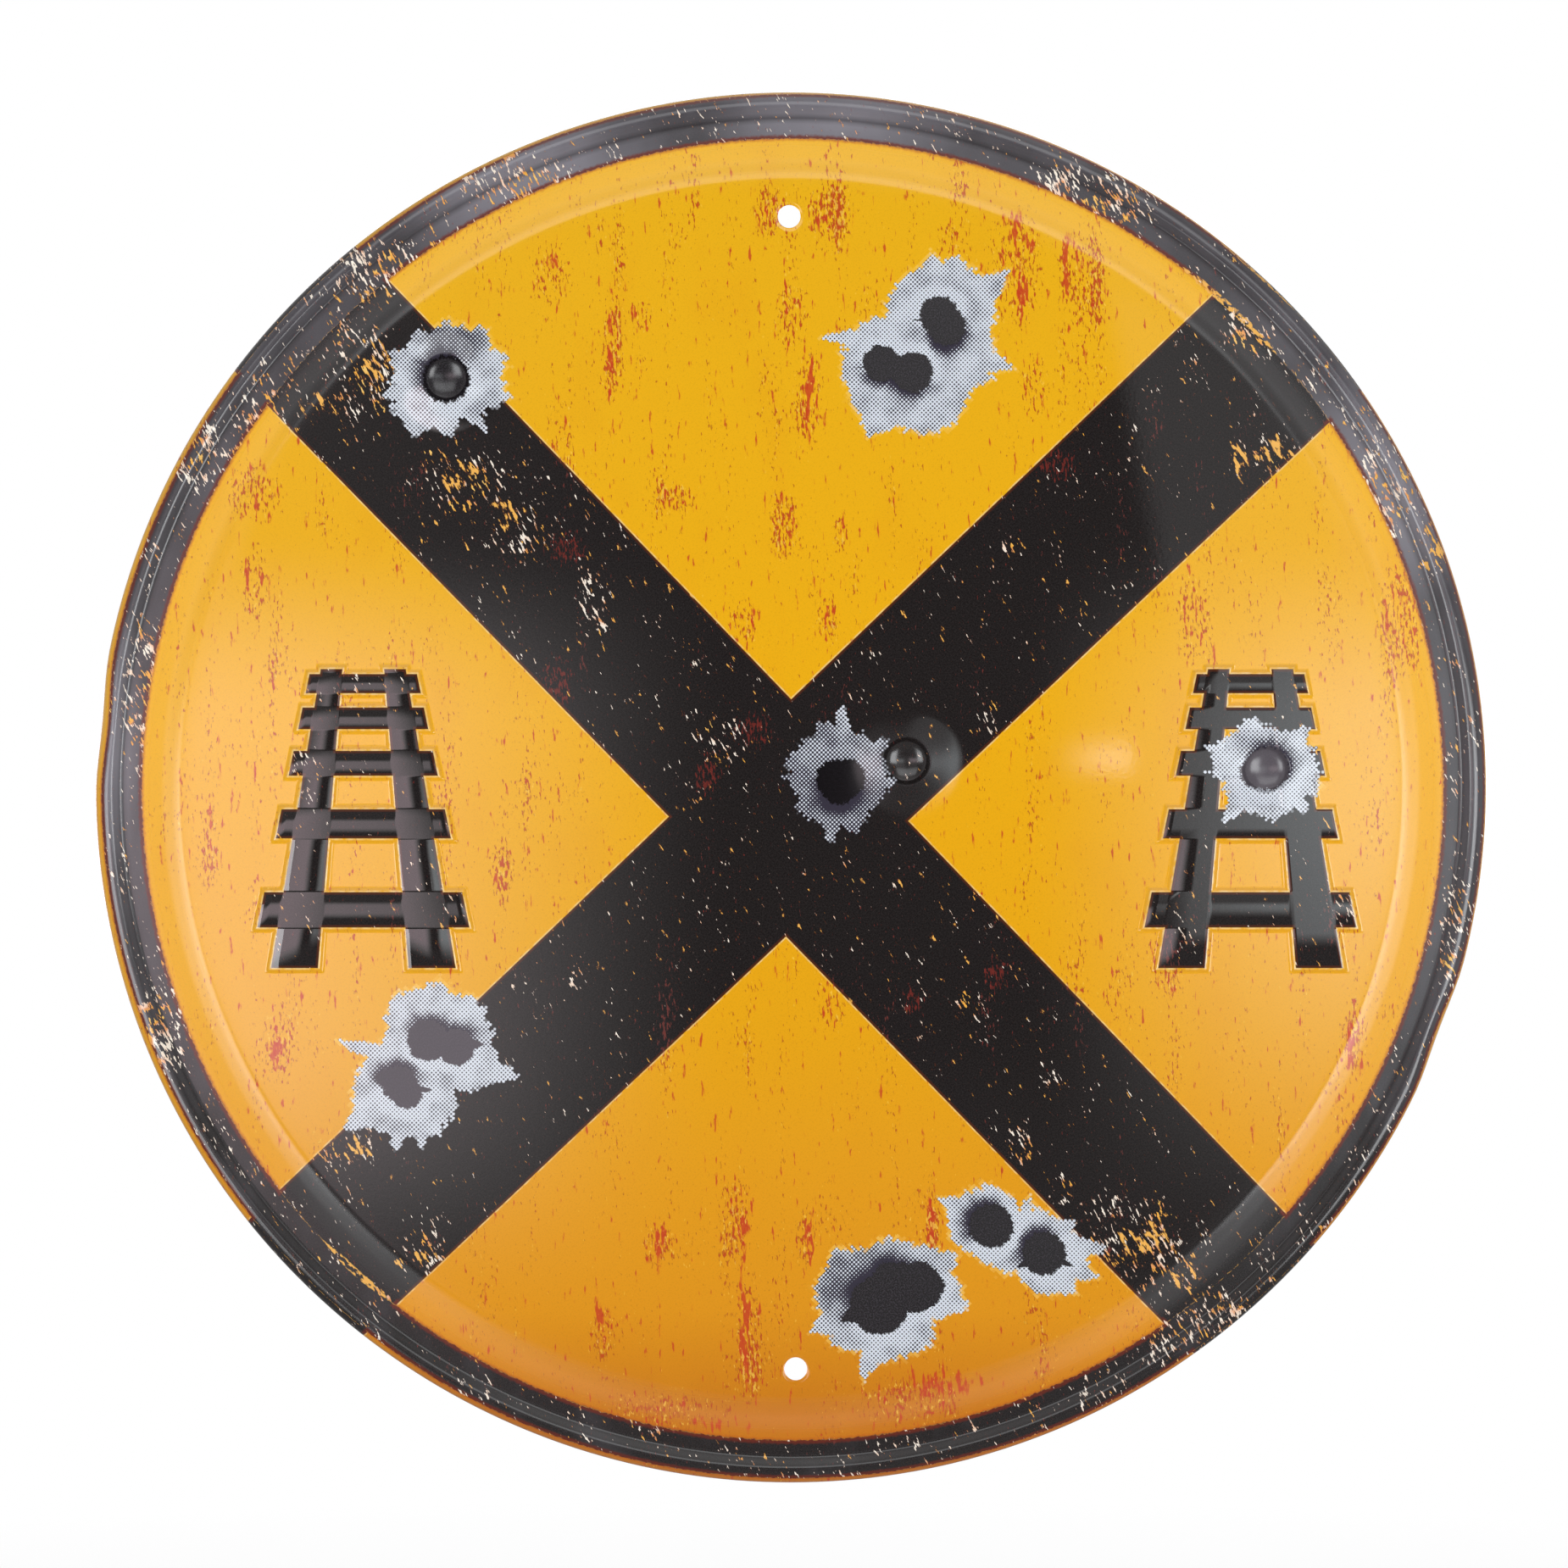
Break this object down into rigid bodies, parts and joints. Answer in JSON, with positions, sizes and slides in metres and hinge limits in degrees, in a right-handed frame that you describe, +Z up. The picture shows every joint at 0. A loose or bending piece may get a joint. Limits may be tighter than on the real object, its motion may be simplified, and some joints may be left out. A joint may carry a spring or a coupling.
{
  "type": "round tin wall sign",
  "caption": "Round pressed tin wall sign for a railway crossing, with a diagonal cross, track pictograms, mock shot marks, a beaded and hemmed rim and nail holes.",
  "frame": {"origin": "centre of the disc, halfway through its depth", "axes": "+Z up as the sign hangs, -Y out of the printed face, +Y into the wall, +X to the viewer's right"},
  "size_m": [0.2985, 0.0066, 0.2986],
  "materials": {
    "printed_tin": "gloss lacquered print"
  },
  "bodies": {
    "root": {"sign_sheet": "printed_tin"}
  },
  "joints": []
}
